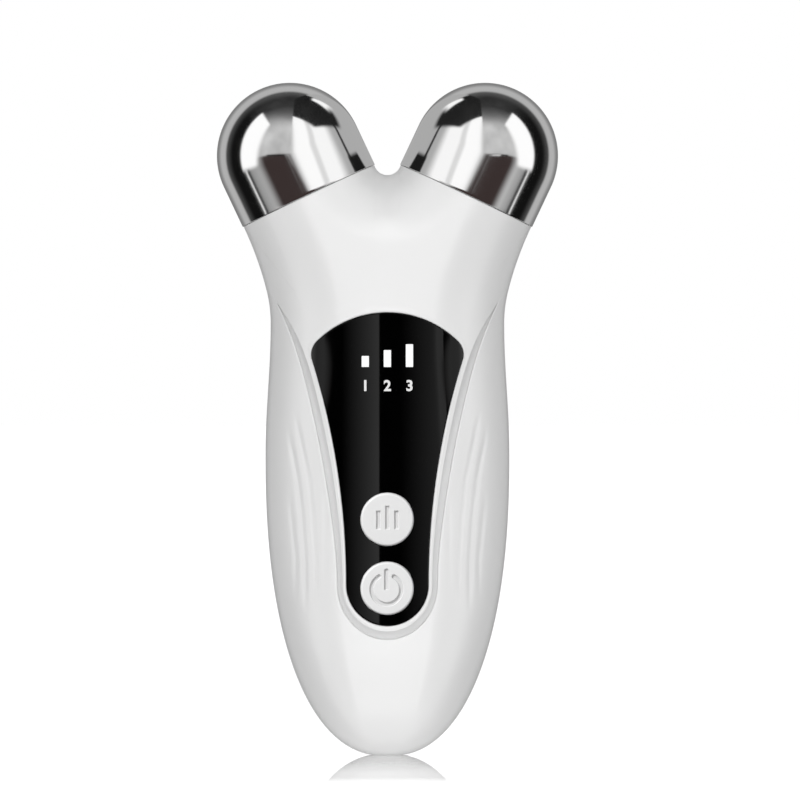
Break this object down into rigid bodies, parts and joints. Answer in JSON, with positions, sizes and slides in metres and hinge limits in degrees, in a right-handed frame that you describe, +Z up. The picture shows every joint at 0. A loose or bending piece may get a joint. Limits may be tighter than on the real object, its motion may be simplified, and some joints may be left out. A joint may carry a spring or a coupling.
{
  "type": "facial toning device",
  "caption": "Y-shaped handheld facial toner with tilted spinning metal dome heads, a glossy front panel with level bars and round push buttons.",
  "frame": {"origin": "centre of the tip's lower end, at the mouth of the charging socket, on the casing's parting plane", "axes": "+Z up along the handle towards the heads, -Y out of the front face with the buttons, +X to the right seen from the front"},
  "size_m": [0.0762, 0.0328, 0.15],
  "materials": {
    "white_shell": "satin moulded ABS",
    "panel_black": "polished acrylic",
    "bar_white": "translucent",
    "button_white": "satin",
    "black_plastic": "moulded",
    "plunger_grey": "moulded",
    "board_green": "solder mask",
    "ferrite": "sintered",
    "connector_white": "moulded",
    "led_yellow": "clear resin",
    "battery_foil": "foil pouch",
    "foam": "foam",
    "silicone": "matt",
    "steel": "plated",
    "brass": "turned",
    "dome_chrome": "mirror polished",
    "lead_red": "silicone jacket",
    "lead_black": "silicone jacket",
    "lead_blue": "silicone jacket"
  },
  "bodies": {
    "body": {"front_shell": "white_shell", "front_grip": "white_shell", "rear_shell": "white_shell", "display_panel": "panel_black", "level_light_bars": "bar_white", "light_guide": "black_plastic", "level_switch": "black_plastic", "power_switch": "black_plastic", "control_chip": "black_plastic", "charge_chip": "black_plastic", "socket_tongue": "black_plastic", "left_arm_plate": "black_plastic", "right_arm_plate": "black_plastic", "main_board": "board_green", "charge_board": "board_green", "boost_inductor": "ferrite", "battery_connector": "connector_white", "level_leds": "led_yellow", "battery": "battery_foil", "battery_pad": "foam", "screw_plugs": "silicone", "left_axle_seal": "silicone", "right_axle_seal": "silicone", "board_screws": "steel", "charge_board_screws": "steel", "casing_screws": "steel", "socket_shell": "steel", "left_axle": "steel", "left_axle_clip": "steel", "left_axle_nut": "steel", "right_axle": "steel", "right_axle_clip": "steel", "right_axle_nut": "steel", "left_terminal": "brass", "right_terminal": "brass", "battery_lead_red": "lead_red", "charge_lead_red": "lead_red", "battery_lead_black": "lead_black", "charge_lead_black": "lead_black", "left_electrode_lead": "lead_blue", "right_electrode_lead": "lead_blue"},
    "left_head": {"left_dome": "dome_chrome", "left_hub": "brass", "left_lower_bearing": "steel", "left_upper_bearing": "steel"},
    "right_head": {"right_dome": "dome_chrome", "right_hub": "brass", "right_lower_bearing": "steel", "right_upper_bearing": "steel"},
    "level_key": {"level_button": "button_white"},
    "power_key": {"power_button": "button_white"},
    "level_switch_plunger": {"level_plunger": "plunger_grey"},
    "power_switch_plunger": {"power_plunger": "plunger_grey"}
  },
  "joints": [
    {"name": "left_head_spin", "type": "hinge", "parent": "body", "child": "left_head", "pos_m": [-0.0175, 0, 0.12466], "axis": [-0.4274, 0, 0.9041], "continuous": true},
    {"name": "right_head_spin", "type": "hinge", "parent": "body", "child": "right_head", "pos_m": [0.0175, 0, 0.12466], "axis": [0.4274, 0, 0.9041], "continuous": true},
    {"name": "level_press", "type": "slide", "parent": "body", "child": "level_key", "axis": [0, 1, 0], "range_m": [0, 0.0004], "stiffness_N_per_m": 3000},
    {"name": "level_plunger_press", "type": "slide", "parent": "body", "child": "level_switch_plunger", "axis": [0, 1, 0], "range_m": [0, 0.0004]},
    {"name": "power_press", "type": "slide", "parent": "body", "child": "power_key", "axis": [0, 1, 0], "range_m": [0, 0.0004], "stiffness_N_per_m": 3000},
    {"name": "power_plunger_press", "type": "slide", "parent": "body", "child": "power_switch_plunger", "axis": [0, 1, 0], "range_m": [0, 0.0004]}
  ],
  "couplings": [
    {"joint": "level_plunger_press", "follows": "level_press", "ratio": 1},
    {"joint": "power_plunger_press", "follows": "power_press", "ratio": 1}
  ]
}
